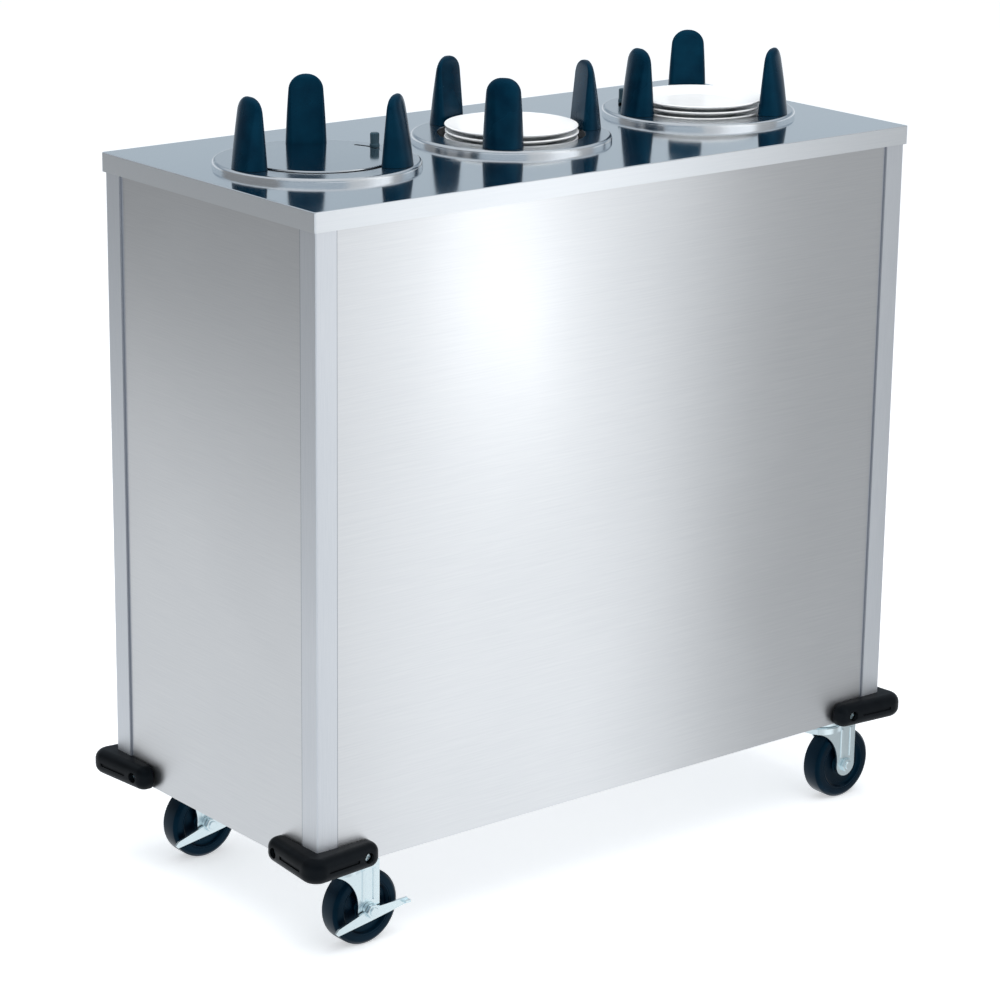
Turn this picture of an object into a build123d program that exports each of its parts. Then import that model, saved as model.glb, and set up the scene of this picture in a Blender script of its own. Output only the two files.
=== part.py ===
"""Enclosed mobile plate dispenser cart with three self-levelling dispensers.

Millimetres. The origin is on the floor under the middle of the cabinet, +Z is up, +X runs along
the long side and the front panel faces -Y. Each piece is written to parts/NODE.step.
"""
from build123d import *
from math import atan2, cos, degrees, radians, sin
import os

os.makedirs("parts", exist_ok=True)

# ---- cabinet ----
BODY_LENGTH = 978.0
BODY_DEPTH = 455.0
BODY_BOTTOM = 130.0
DECK_TOP = 970.0
DECK_SHEET = 2.0
DECK_OVERHANG = 3.5
DECK_CORNER_R = 2.5
DECK_RIM_R = 1.6
APRON_HEIGHT = 25.0
POST_LEG = 32.0
POST_SHEET = 2.5
POST_CORNER_R = 2.0
PANEL_SHEET = 1.5
SEAM = 0.2
BASE_SHEET = 2.0
BASE_PLAY = 1.0
CHANNEL_WIDTH = 104.0
CHANNEL_HEIGHT = 26.0
CHANNEL_SHEET = 3.0

# ---- dispensers, in their own frame: z = 0 on top of the deck ----
DISPENSERS = {"left": (-319.0, 2.0), "middle": (-6.0, 45.0), "right": (323.0, 117.0)}
DISPENSER_Y = 3.0
DECK_HOLE_R = 122.0
FLANGE_R = 132.0
FLANGE_RISE = 8.0
FLANGE_SHEET = 2.0
FLANGE_EDGE_R = 4.5
THROAT_R = 97.0
THROAT_EDGE_R = 0.9
TUBE_INNER_R = 99.0
TUBE_WALL = 1.2
TUBE_DEPTH = 790.0
TUBE_COLLAR = (2.6, 6.0)
TUBE_SLOT_WIDTH = 15.0
TUBE_SLOT_TOP = -60.0
TUBE_SLOT_BOTTOM = -775.0
ARM_ANGLES = (0.0, 120.0, 240.0)
GUIDE_ANGLES = (60.0, 180.0, 300.0)

# ---- guides and the ring that adjusts them ----
GUIDE_HEIGHT = 89.0
GUIDE_FOOT_WIDTH = 53.0
GUIDE_FOOT_SPAN = (93.5, 127.0)
GUIDE_TOP_WIDTH = 42.0
GUIDE_TOP_SPAN = (101.5, 111.0)
GUIDE_SHOULDER_R = 13.0
GUIDE_LIFT = 0.3
GUIDE_TRAVEL = 6.0
STEM_WIDTH = 8.0
STEM_INNER_R = 102.0
STEM_OUTER_R = 109.0
GUIDE_PIN_R = 2.5
GUIDE_PIN_AT = 105.5
RING_INNER_R = 101.0
RING_OUTER_R = 119.0
RING_BOTTOM = 1.0
RING_SHEET = 2.5
RING_TURN = 15.0
RING_PLAY = 0.3
LEDGE_WIDTH = 1.6
LEDGE_SHEET = 1.5
SLOT_PLAY = 0.2
KNOB_ANGLE = 8.5
KNOB_AT = 106.0
KNOB_R = 6.5
KNOB_HEIGHT = 19.0
KNOB_EDGE_R = 2.0
KNOB_STEM_R = 3.0

# ---- carriers, springs and plates ----
CARRIER_R = 92.5
CARRIER_SHEET = 2.0
CARRIER_EDGE_R = 1.2
CARRIER_PROUD = 2.0
CARRIER_RING_R = (56.0, 82.0)
STRAP_AT = 78.0
STRAP_WIDTH = 20.0
STRAP_SHEET = 3.0
ARM_DROP = 150.0
ARM_SHEET = 4.0
ARM_WIDTH = 12.0
ARM_REACH = 115.0
SPRING_AT = 109.0
SPRING_R = 5.5
SPRING_WALL = 1.2
TAB_Z = -10.0
TAB_WIDTH = 16.0
TAB_SHEET = 3.0
PLATE_R = 88.0
PLATE_HEIGHT = 15.0
PLATE_PITCH = 8.0
PLATE_FOOT = 3.4
PLATE_FOOT_R = (46.0, 50.0)
PLATE_BEND_R = 62.0
PLATES_PER_STACK = 12
STACK_TOP = {"middle": 20.0, "right": 24.0}

# ---- casters, in their own frame: the kingpin's axis, z = 0 on the floor ----
CASTER_X = 423.0
CASTER_Y = 181.5
CASTERS = {
    "left_front": (-CASTER_X, -CASTER_Y),
    "left_rear": (-CASTER_X, CASTER_Y),
    "right_front": (CASTER_X, -CASTER_Y),
    "right_rear": (CASTER_X, CASTER_Y),
}
BRAKED = ("left_front", "left_rear")
TRAIL = 33.0
WHEEL_R = 50.8
WHEEL_WIDTH = 32.0
TREAD_EDGE = 4.0
TREAD_CORNER = 1.2
HUB_R = 13.0
HUB_PROUD = 1.8
RECESS_R = (16.0, 34.0)
RECESS_DEPTH = 5.0
RIM_R = 38.0
AXLE_R = 6.0
AXLE_END = 8.0
AXLE_NUT = (17.0, 6.0)
RUNNING_PLAY = 0.06
TOP_PLATE = (96.0, 68.0, 3.5)
TOP_PLATE_CORNER_R = 7.0
BOLT_SPACING = (76.0, 46.0)
BOLT_R = 4.0
BOLT_HOLE_R = 4.4
BOLT_ACROSS_FLATS = 13.0
BOLT_HEAD = 5.0
BOLT_NUT = 6.5
BOLT_END = 11.0
RACEWAY_R = 31.0
RACEWAY_EDGE_R = 3.0
RACEWAY_PLAY = 0.5
KINGPIN_R = 5.0
KINGPIN_HEAD = (9.0, 3.8)
KINGPIN_EDGE_R = 1.6
CROWN_TOP = 117.5
CROWN_BOTTOM = 107.5
LEG_INNER = 18.2
LEG_SHEET = 2.6
LEG_NOSE_R = 17.0
LEG_BACK = -24.0
LEG_WAIST = (9.0, 84.0)
RIB_PROUD = 1.3
RIB_WIDTH = 4.8
RIB_X = (24.5, 41.5)
LEVER_SHEET = 3.0
LEVER_GAP = 1.9
LEVER_BOSS_R = 10.0
LEVER_BOSS_LIFT = 0.3
LEVER_OUTLINE = ((-55, -19), (-51, -23), (0, -15), (57, -5), (60, 0), (58, 3), (0, 2), (-50, -14))
LEVER_PAD_X = (51.0, 59.5)
LEVER_PAD_Z = (-2.5, 1.0)
LEVER_PAD_REACH = 6.0

# ---- corner bumpers ----
BUMPER_LEG = 87.0
BUMPER_PROUD = 30.0
BUMPER_END_PROUD = 19.0
BUMPER_CORNER_R = 22.0
BUMPER_END_R = 15.0
BUMPER_RIM_R = 13.0
BUMPER_LOW = BODY_BOTTOM - 3.0
BUMPER_HEIGHT = 33.0
BUMPER_SCREW_AT = 66.0
GROOVE_WIDTH = 4.4
GROOVE_DEPTH = 1.6
GROOVE_REACH = (30.0, 80.0)
SCREW_R = 2.6
SCREW_HOLE_R = 2.9
SCREW_HEAD_R = 6.5
SCREW_HEAD = 4.0
SCREW_HEAD_EDGE_R = 2.0
SCREW_HEAD_PLAY = 0.5
SCREW_SEAT = 11.0
SCREW_END = 6.0
CROSS_SLOT = (9.0, 1.6)
CROSS_SLOT_DEPTH = 1.2

half_l = BODY_LENGTH / 2
half_d = BODY_DEPTH / 2
flange_under = FLANGE_RISE - FLANGE_SHEET
STANDING = (Align.CENTER, Align.CENTER, Align.MIN)


def save(node, *solids):
    """Write one piece, or one group of identical pieces, to its own file."""
    shape = solids[0] if len(solids) == 1 else Compound(list(solids))
    shape.label = node
    export_step(shape, f"parts/{node}.step")


def slab(x0, x1, y0, y1, z0, z1):
    return Pos((x0 + x1) / 2, (y0 + y1) / 2, (z0 + z1) / 2) * Box(abs(x1 - x0), abs(y1 - y0), abs(z1 - z0))


def disc(radius, z0, z1, x=0.0, y=0.0):
    return Pos(x, y, (z0 + z1) / 2) * Cylinder(radius, z1 - z0)


def tube(outer, inner, z0, z1, x=0.0, y=0.0):
    return disc(outer, z0, z1, x, y) - disc(inner, z0 - 1, z1 + 1, x, y)


def around(angle, shape):
    return Rot(0, 0, angle) * shape


def polar(radius, angle):
    return radius * cos(radians(angle)), radius * sin(radians(angle))


def hexagon(across_flats, z0, z1, x=0.0, y=0.0):
    prism = extrude(RegularPolygon(across_flats / 2, 6, major_radius=False), z1 - z0)
    return Pos(x, y, z0) * prism


def spiral_slot(start, end, width, z0, z1):
    """A slot along a spiral about the middle, from one (radius, angle) to another."""
    mid = polar((start[0] + end[0]) / 2, (start[1] + end[1]) / 2)
    path = ThreePointArc(polar(*start), mid, polar(*end))
    return Pos(0, 0, z0) * extrude(SlotArc(path, width), z1 - z0)


def at_corner(piece, low, side_x, side_y):
    """Move a piece drawn round the corner (0, 0) to one of the four corners of the cabinet."""
    piece = Pos(-half_l, -half_d, low) * piece
    if side_x > 0:
        piece = piece.mirror(Plane.YZ)
    if side_y > 0:
        piece = piece.mirror(Plane.XZ)
    return piece


# ---------------------------------------------------------------- cabinet


def bolt_places(name):
    cx, cy = CASTERS[name]
    return [
        (cx + sx * BOLT_SPACING[0] / 2, cy + sy * BOLT_SPACING[1] / 2)
        for sx in (-1, 1)
        for sy in (-1, 1)
    ]


def make_deck():
    outer_l = half_l + DECK_OVERHANG
    outer_d = half_d + DECK_OVERHANG
    deck = slab(-outer_l, outer_l, -outer_d, outer_d, DECK_TOP - APRON_HEIGHT, DECK_TOP)
    deck = fillet(deck.edges().filter_by(Axis.Z), DECK_CORNER_R)
    deck = fillet(deck.faces().sort_by(Axis.Z)[-1].edges(), DECK_RIM_R)
    inner_l = outer_l - DECK_SHEET
    inner_d = outer_d - DECK_SHEET
    deck -= slab(-inner_l, inner_l, -inner_d, inner_d, 0, DECK_TOP - DECK_SHEET)
    for x, _ in DISPENSERS.values():
        deck -= disc(DECK_HOLE_R, 0, 2 * DECK_TOP, x, DISPENSER_Y)
    save("top_deck", deck)


def post(side_x, side_y):
    """An angle profile with its outer corner on the corner of the cabinet."""
    foot = Polyline(
        (0, 0),
        (POST_LEG, 0),
        (POST_LEG, POST_SHEET),
        (POST_SHEET, POST_SHEET),
        (POST_SHEET, POST_LEG),
        (0, POST_LEG),
        close=True,
    )
    bar = extrude(make_face(foot), DECK_TOP - DECK_SHEET - BODY_BOTTOM)
    bar = fillet(bar.edges().filter_by(Axis.Z).sort_by_distance((0, 0, 0))[0], POST_CORNER_R)
    return at_corner(bar, BODY_BOTTOM, side_x, side_y)


def make_posts():
    save("front_posts", post(-1, -1), post(1, -1))
    save("rear_posts", post(-1, 1), post(1, 1))


def make_panels():
    face_l = half_l - POST_SHEET
    face_d = half_d - POST_SHEET
    top = DECK_TOP - DECK_SHEET
    reach = face_l - PANEL_SHEET - SEAM
    screw_z = BUMPER_LOW + BUMPER_HEIGHT / 2
    hole = Cylinder(SCREW_HOLE_R, 40)
    for node, side in (("front_panel", -1), ("rear_panel", 1)):
        inner = side * (face_d - PANEL_SHEET)
        panel = slab(-reach, reach, inner, side * face_d, BODY_BOTTOM, top)
        for x in (BUMPER_SCREW_AT - half_l, half_l - BUMPER_SCREW_AT):
            panel -= Pos(x, inner, screw_z) * Rot(90, 0, 0) * hole
        save(node, panel)
    for node, side in (("left_end_panel", -1), ("right_end_panel", 1)):
        inner = side * (face_l - PANEL_SHEET)
        panel = slab(inner, side * face_l, -face_d, face_d, BODY_BOTTOM, top)
        for y in (BUMPER_SCREW_AT - half_d, half_d - BUMPER_SCREW_AT):
            panel -= Pos(inner, y, screw_z) * Rot(0, 90, 0) * hole
        save(node, panel)


def make_base():
    reach_l = half_l - POST_SHEET - PANEL_SHEET - BASE_PLAY
    reach_d = half_d - POST_SHEET - PANEL_SHEET - BASE_PLAY
    pan = slab(-reach_l, reach_l, -reach_d, reach_d, BODY_BOTTOM, BODY_BOTTOM + BASE_SHEET)
    floor = BODY_BOTTOM + BASE_SHEET
    channels = []
    for x in (-CASTER_X, CASTER_X):
        half = CHANNEL_WIDTH / 2
        inside = half - CHANNEL_SHEET
        outside = slab(x - half, x + half, -reach_d, reach_d, floor, floor + CHANNEL_HEIGHT)
        trough = slab(
            x - inside, x + inside, -half_d, half_d, floor + CHANNEL_SHEET, floor + 2 * CHANNEL_HEIGHT
        )
        channels.append(outside - trough)
    bolts = []
    low = BODY_BOTTOM - TOP_PLATE[2]
    high = floor + CHANNEL_SHEET
    for name in CASTERS:
        for x, y in bolt_places(name):
            hole = disc(BOLT_HOLE_R, 0, 2 * floor, x, y)
            pan -= hole
            channels = [channel - hole for channel in channels]
            bolt = disc(BOLT_R, low, high + BOLT_END, x, y)
            bolt += hexagon(BOLT_ACROSS_FLATS, low - BOLT_HEAD, low, x, y)
            bolt += hexagon(BOLT_ACROSS_FLATS, high, high + BOLT_NUT, x, y)
            bolts.append(bolt)
    save("base_pan", pan)
    save("caster_channels", *channels)
    save("caster_bolts", *bolts)


def bumper_shape():
    """A rubber angle round the corner (0, 0) of the cabinet, thickest at the corner."""
    out, end, leg = -BUMPER_PROUD, -BUMPER_END_PROUD, BUMPER_LEG
    plan = Polyline((0, 0), (leg, 0), (leg, end), (out, out), (end, leg), (0, leg), close=True)
    block = extrude(make_face(plan), BUMPER_HEIGHT)
    uprights = block.edges().filter_by(Axis.Z)
    block = fillet(uprights.sort_by_distance((out, out, 0))[0], BUMPER_CORNER_R)
    uprights = block.edges().filter_by(Axis.Z)
    ends = [uprights.sort_by_distance(point)[0] for point in ((leg, end, 0), (end, leg, 0))]
    block = fillet(ends, BUMPER_END_R)
    middle = BUMPER_HEIGHT / 2
    rims = block.edges().filter_by(lambda e: abs(e.center().Z - middle) > 1)
    rims = rims.filter_by(lambda e: min(e.center().X, e.center().Y) < -1)
    block = fillet(rims, BUMPER_RIM_R)
    low, high = middle - GROOVE_WIDTH / 2, middle + GROOVE_WIDTH / 2
    taper = degrees(atan2(BUMPER_PROUD - BUMPER_END_PROUD, BUMPER_PROUD + BUMPER_LEG))
    start, stop = GROOVE_REACH
    block -= Pos(out, out, 0) * around(taper, slab(start, stop, -1, GROOVE_DEPTH, low, high))
    block -= Pos(out, out, 0) * around(90 - taper, slab(start, stop, -GROOVE_DEPTH, 1, low, high))
    for seat in bumper_seats():
        block -= seat * Cylinder(SCREW_HEAD_R + SCREW_HEAD_PLAY, BUMPER_PROUD, align=STANDING)
        block -= seat * Cylinder(SCREW_HOLE_R, 40)
    return block


def bumper_seats():
    """Where the two screw heads sit in their recesses, looking out of the cabinet."""
    middle = BUMPER_HEIGHT / 2
    return (
        Pos(BUMPER_SCREW_AT, -SCREW_SEAT, middle) * Rot(90, 0, 0),
        Pos(-SCREW_SEAT, BUMPER_SCREW_AT, middle) * Rot(0, -90, 0),
    )


def bumper_screw():
    head = Cylinder(SCREW_HEAD_R, SCREW_HEAD, align=STANDING)
    head = fillet(head.edges().sort_by(Axis.Z)[-1], SCREW_HEAD_EDGE_R)
    for length, width in (CROSS_SLOT, CROSS_SLOT[::-1]):
        head -= Pos(0, 0, SCREW_HEAD) * Box(length, width, 2 * CROSS_SLOT_DEPTH)
    reach = SCREW_SEAT + SCREW_END
    return head + Pos(0, 0, -reach) * Cylinder(SCREW_R, reach + 1, align=STANDING)


def make_bumpers():
    shape = bumper_shape()
    screw = bumper_screw()
    screws = []
    for name, (x, y) in CASTERS.items():
        save(f"{name}_bumper", at_corner(shape, BUMPER_LOW, x, y))
        screws += [at_corner(seat * screw, BUMPER_LOW, x, y) for seat in bumper_seats()]
    save("bumper_screws", *screws)


# ------------------------------------------------------------ dispensers


def place(name, shape):
    """Put a dispenser's piece into the cabinet."""
    x, turn = DISPENSERS[name]
    return Pos(x, DISPENSER_Y, DECK_TOP) * Rot(0, 0, turn) * shape


def flange():
    """A round cover of pressed sheet over the deck's hole, with the throat for the plates."""
    outer = disc(FLANGE_R, 0, FLANGE_RISE)
    outer = fillet(outer.edges().sort_by(Axis.Z)[-1], FLANGE_EDGE_R)
    hollow = disc(FLANGE_R - FLANGE_SHEET, -1, flange_under)
    hollow = fillet(hollow.edges().sort_by(Axis.Z)[-1], FLANGE_EDGE_R - FLANGE_SHEET)
    cover = outer - hollow - disc(THROAT_R, -1, FLANGE_RISE + 1)
    throat_edges = cover.edges().filter_by(GeomType.CIRCLE).sort_by_distance((THROAT_R, 0, FLANGE_RISE))
    cover = fillet(throat_edges[0], THROAT_EDGE_R)
    for angle in GUIDE_ANGLES:
        slot = slab(
            STEM_INNER_R - 0.5,
            STEM_OUTER_R + GUIDE_TRAVEL + 0.5,
            -STEM_WIDTH / 2 - SLOT_PLAY,
            STEM_WIDTH / 2 + SLOT_PLAY,
            flange_under - 1,
            FLANGE_RISE + 1,
        )
        cover -= around(angle, slot)
    width = 2 * (KNOB_STEM_R + SLOT_PLAY)
    start, end = (KNOB_AT, KNOB_ANGLE - 0.5), (KNOB_AT, KNOB_ANGLE + RING_TURN + 0.5)
    return cover - spiral_slot(start, end, width, flange_under - 1, FLANGE_RISE + 1)


def slotted_tube():
    """The tube that the stack travels in, with its slots, spring tabs and the ledge for the ring."""
    shell = tube(TUBE_INNER_R + TUBE_WALL, TUBE_INNER_R, -TUBE_DEPTH, flange_under)
    collar_wall, collar_height = TUBE_COLLAR
    collar_r = TUBE_INNER_R + TUBE_WALL + collar_wall
    shell += tube(collar_r, TUBE_INNER_R, -TUBE_DEPTH, -TUBE_DEPTH + collar_height)
    ledge_top = RING_BOTTOM - RING_PLAY
    shell += tube(RING_INNER_R + LEDGE_WIDTH, TUBE_INNER_R, ledge_top - LEDGE_SHEET, ledge_top)
    for angle in ARM_ANGLES:
        slot = slab(
            TUBE_INNER_R - 5,
            TUBE_INNER_R + 10,
            -TUBE_SLOT_WIDTH / 2,
            TUBE_SLOT_WIDTH / 2,
            TUBE_SLOT_BOTTOM,
            TUBE_SLOT_TOP,
        )
        shell -= around(angle, slot)
        tab = slab(
            TUBE_INNER_R + TUBE_WALL / 2,
            ARM_REACH + 1,
            -TAB_WIDTH / 2,
            TAB_WIDTH / 2,
            TAB_Z,
            TAB_Z + TAB_SHEET,
        )
        shell += around(angle, tab)
    for angle in GUIDE_ANGLES:
        notch = slab(
            TUBE_INNER_R - 5, RING_INNER_R - 0.2, -STEM_WIDTH / 2 - 1, STEM_WIDTH / 2 + 1, 3.5, FLANGE_RISE
        )
        shell -= around(angle, notch)
    return shell


def adjusting_ring():
    """A flat ring with three spiral slots that drive the guides' pins, and a hole for the knob."""
    ring = tube(RING_OUTER_R, RING_INNER_R, RING_BOTTOM, RING_BOTTOM + RING_SHEET)
    width = 2 * (GUIDE_PIN_R + SLOT_PLAY)
    for angle in GUIDE_ANGLES:
        start, end = (GUIDE_PIN_AT, angle), (GUIDE_PIN_AT + GUIDE_TRAVEL, angle - RING_TURN)
        ring -= spiral_slot(start, end, width, -1, 6)
    x, y = polar(KNOB_AT, KNOB_ANGLE)
    ring -= disc(KNOB_STEM_R, -1, 6, x, y)
    return ring


def knob():
    x, y = polar(KNOB_AT, KNOB_ANGLE)
    low = FLANGE_RISE + GUIDE_LIFT
    grip = disc(KNOB_R, low, low + KNOB_HEIGHT, x, y)
    grip = fillet(grip.edges().sort_by(Axis.Z)[-1], KNOB_EDGE_R)
    return grip + disc(KNOB_STEM_R, RING_BOTTOM, low + 1, x, y)


def guide_section(width, span, z):
    """A flat inner side with rounded corners and an outer side that is bowed like a D."""
    inner, outer = span
    depth = outer - inner
    shoulder = inner + depth / 4
    half = width / 2
    outline = make_face(
        Wire(
            [
                Line((inner, -half), (inner, half)),
                Line((inner, half), (shoulder, half)),
                ThreePointArc((shoulder, half), (outer, 0), (shoulder, -half)),
                Line((shoulder, -half), (inner, -half)),
            ]
        )
    )
    outline = fillet(outline.vertices().sort_by(Axis.X)[:2], depth / 6)
    return Pos(0, 0, z) * outline


def guide(angle):
    """A tapered upright with a rounded top, on a stem and a pin that reach down to the ring."""
    low = FLANGE_RISE + GUIDE_LIFT
    high = low + GUIDE_HEIGHT
    foot_section = guide_section(GUIDE_FOOT_WIDTH, GUIDE_FOOT_SPAN, low)
    top_section = guide_section(GUIDE_TOP_WIDTH, GUIDE_TOP_SPAN, high)
    body = loft([foot_section, top_section], ruled=True)
    half = GUIDE_FOOT_WIDTH / 2 + 1
    top = GUIDE_TOP_WIDTH / 2
    outline = Polyline(
        (-half, 0), (half, 0), (half, low), (top, high), (-top, high), (-half, low), close=True
    )
    front = make_face(outline)
    front = fillet(front.vertices().sort_by(Axis.Y)[-2:], GUIDE_SHOULDER_R)
    body &= extrude(Plane.YZ * front, 200)
    body += slab(STEM_INNER_R, STEM_OUTER_R, -STEM_WIDTH / 2, STEM_WIDTH / 2, 4, low + 1)
    body += disc(GUIDE_PIN_R, -0.5, 5, GUIDE_PIN_AT)
    return around(angle, body)


def carrier(top):
    """A disc on three straps, with arms that reach out through the tube's slots to the springs."""
    plate = disc(CARRIER_R, top - CARRIER_SHEET, top)
    plate = fillet(plate.edges().sort_by(Axis.Z)[-1], CARRIER_EDGE_R)
    foot = top - ARM_DROP
    inner_ring, outer_ring = CARRIER_RING_R
    body = plate + tube(outer_ring, inner_ring, foot - ARM_SHEET, foot)
    for angle in ARM_ANGLES:
        strap = slab(
            STRAP_AT, STRAP_AT + STRAP_SHEET, -STRAP_WIDTH / 2, STRAP_WIDTH / 2, foot - 1, top - CARRIER_SHEET
        )
        arm = slab(STRAP_AT - 6, ARM_REACH, -ARM_WIDTH / 2, ARM_WIDTH / 2, foot - ARM_SHEET, foot)
        body += around(angle, strap + arm)
    return body


def springs(top):
    foot = top - ARM_DROP
    return [
        around(angle, tube(SPRING_R, SPRING_R - SPRING_WALL, foot, TAB_Z, SPRING_AT)) for angle in ARM_ANGLES
    ]


def stack(top):
    """Plain round plates. Each foot ring stands on the flat well of the plate below, so the
    height of the well's floor is the pitch of the stack."""
    inner_foot, outer_foot = PLATE_FOOT_R
    well = outer_foot + 2
    profile = Polyline(
        (0, PLATE_FOOT),
        (inner_foot, PLATE_FOOT),
        (inner_foot, 0),
        (outer_foot, 0),
        (outer_foot, PLATE_FOOT),
        (PLATE_BEND_R, PLATE_FOOT + 1.8),
        (PLATE_R - 2, PLATE_HEIGHT - 2.4),
        (PLATE_R, PLATE_HEIGHT - 1.2),
        (PLATE_R - 1.2, PLATE_HEIGHT),
        (PLATE_BEND_R, PLATE_PITCH + 2.2),
        (well, PLATE_PITCH),
        (0, PLATE_PITCH),
        close=True,
    )
    plate = revolve(Plane.XZ * make_face(profile), Axis.Z)
    low = top - PLATE_HEIGHT - (PLATES_PER_STACK - 1) * PLATE_PITCH
    return [Pos(0, 0, low + i * PLATE_PITCH) * plate for i in range(PLATES_PER_STACK)]


def make_dispensers():
    for name in DISPENSERS:
        save(f"{name}_flange", place(name, flange()))
        save(f"{name}_tube", place(name, slotted_tube()))
        save(f"{name}_adjusting_ring", place(name, adjusting_ring()))
        save(f"{name}_knob", place(name, knob()))
        for number, angle in enumerate(GUIDE_ANGLES, 1):
            save(f"{name}_guide_{number}", place(name, guide(angle)))
        level = FLANGE_RISE + CARRIER_PROUD
        if name in STACK_TOP:
            level = STACK_TOP[name] - PLATE_HEIGHT - (PLATES_PER_STACK - 1) * PLATE_PITCH
            save(f"{name}_plates", *[place(name, plate) for plate in stack(STACK_TOP[name])])
        save(f"{name}_carrier", place(name, carrier(level)))
        save(f"{name}_springs", *[place(name, spring) for spring in springs(level)])


# ---------------------------------------------------------------- casters


def top_plate():
    length, width, sheet = TOP_PLATE
    high = BODY_BOTTOM
    plate = slab(-length / 2, length / 2, -width / 2, width / 2, high - sheet, high)
    plate = fillet(plate.edges().filter_by(Axis.Z), TOP_PLATE_CORNER_R)
    for sx in (-1, 1):
        for sy in (-1, 1):
            plate -= disc(BOLT_HOLE_R, 0, 200, sx * BOLT_SPACING[0] / 2, sy * BOLT_SPACING[1] / 2)
    raceway = disc(RACEWAY_R, CROWN_TOP + RACEWAY_PLAY, high - sheet + 0.5)
    raceway = fillet(raceway.edges().sort_by(Axis.Z)[0], RACEWAY_EDGE_R)
    return plate + raceway - disc(KINGPIN_R, 0, 200)


def kingpin():
    """A pin whose head hangs just under the crown, which turns on it."""
    head_r, head_height = KINGPIN_HEAD
    under = CROWN_BOTTOM - 0.4
    pin = disc(KINGPIN_R, under - 2.6, BODY_BOTTOM)
    head = disc(head_r, under - head_height, under)
    return pin + fillet(head.edges().sort_by(Axis.Z)[0], KINGPIN_EDGE_R)


def fork():
    """A pressed crown with two ribbed legs that carry the axle behind the kingpin."""
    crown = disc(RACEWAY_R, CROWN_BOTTOM, CROWN_TOP)
    crown = fillet(crown.edges().sort_by(Axis.Z)[-1], RACEWAY_EDGE_R)
    outer = LEG_INNER + LEG_SHEET
    nose = LEG_NOSE_R
    front = TRAIL + nose
    high = CROWN_TOP - 2
    crown += slab(-10, front, -outer, outer, CROWN_BOTTOM, high)
    crown -= disc(KINGPIN_R + RUNNING_PLAY, 0, 200)
    leg_face = make_face(
        Wire(
            [
                Line((front, high), (front, WHEEL_R)),
                ThreePointArc((front, WHEEL_R), (TRAIL, WHEEL_R - nose), (TRAIL - nose, WHEEL_R)),
                ThreePointArc((TRAIL - nose, WHEEL_R), LEG_WAIST, (LEG_BACK, CROWN_BOTTOM)),
                Line((LEG_BACK, CROWN_BOTTOM), (LEG_BACK, high)),
                Line((LEG_BACK, high), (front, high)),
            ]
        )
    )
    leg = Pos(0, -LEG_INNER, 0) * extrude(Plane.XZ * leg_face, LEG_SHEET)
    rib = slab(-RIB_WIDTH / 2, RIB_WIDTH / 2, -RIB_PROUD, 0, WHEEL_R + 12, CROWN_BOTTOM - 2)
    rib = fillet(rib.edges().filter_by(Axis.Z).sort_by(Axis.Y)[:2], RIB_PROUD - 0.1)
    for x in RIB_X:
        leg += Pos(x, -outer, 0) * rib
    body = crown + leg + leg.mirror(Plane.XZ)
    axle_hole = Pos(TRAIL, 0, WHEEL_R) * Rot(90, 0, 0) * Cylinder(AXLE_R, 4 * outer)
    return body - axle_hole


def wheel():
    """A hub with bushings, recessed faces and a flat tread with rounded edges."""
    half = WHEEL_WIDTH / 2
    hub = half + HUB_PROUD
    recess = half - RECESS_DEPTH
    side = [
        (AXLE_R + RUNNING_PLAY, hub),
        (HUB_R, hub),
        (RECESS_R[0], recess),
        (RECESS_R[1], recess),
        (RIM_R, half),
        (WHEEL_R - TREAD_EDGE, half),
        (WHEEL_R - TREAD_CORNER, half - TREAD_CORNER),
        (WHEEL_R, half - TREAD_EDGE),
    ]
    profile = side[::-1] + [(radius, -y) for radius, y in side]
    turned = revolve(Plane.XY * make_face(Polyline(*profile, close=True)), Axis.Y)
    return Pos(TRAIL, 0, WHEEL_R) * turned


def axle(braked):
    outer = LEG_INNER + LEG_SHEET
    lever = LEVER_GAP + LEVER_SHEET + LEVER_BOSS_LIFT if braked else 0
    across_flats, height = AXLE_NUT
    bolt = Pos(0, 0, lever / 2) * Cylinder(AXLE_R, 2 * (outer + AXLE_END) + lever)
    bolt += hexagon(across_flats, outer + lever, outer + lever + height)
    bolt += hexagon(across_flats, -outer - height, -outer)
    return Pos(TRAIL, 0, WHEEL_R) * Rot(90, 0, 0) * bolt


def brake_lever():
    """A slim bar just under the axle, clear of the leg's ribs, with a pad to press at its end."""
    high = LEVER_GAP + LEVER_SHEET
    outline = Polyline(*LEVER_OUTLINE, close=True)
    bar = Pos(0, 0, LEVER_GAP) * extrude(make_face(outline), LEVER_SHEET)
    bar += disc(LEVER_BOSS_R, LEVER_BOSS_LIFT, high)
    bar += slab(*LEVER_PAD_X, *LEVER_PAD_Z, LEVER_GAP, high + LEVER_PAD_REACH)
    bar -= Cylinder(AXLE_R + RUNNING_PLAY, 40)
    return Pos(TRAIL, -LEG_INNER - LEG_SHEET, WHEEL_R) * Rot(90, 0, 0) * bar


def make_casters():
    plates = []
    pins = []
    for name, (x, y) in CASTERS.items():
        at = Pos(x, y, 0)
        braked = name in BRAKED
        plates.append(at * top_plate())
        pins.append(at * kingpin())
        save(f"{name}_fork", at * fork())
        save(f"{name}_wheel", at * wheel())
        save(f"{name}_axle", at * axle(braked))
        if braked:
            save(f"{name}_brake_lever", at * brake_lever())
    save("caster_plates", *plates)
    save("kingpins", *pins)


make_deck()
make_posts()
make_panels()
make_base()
make_bumpers()
make_dispensers()
make_casters()
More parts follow.
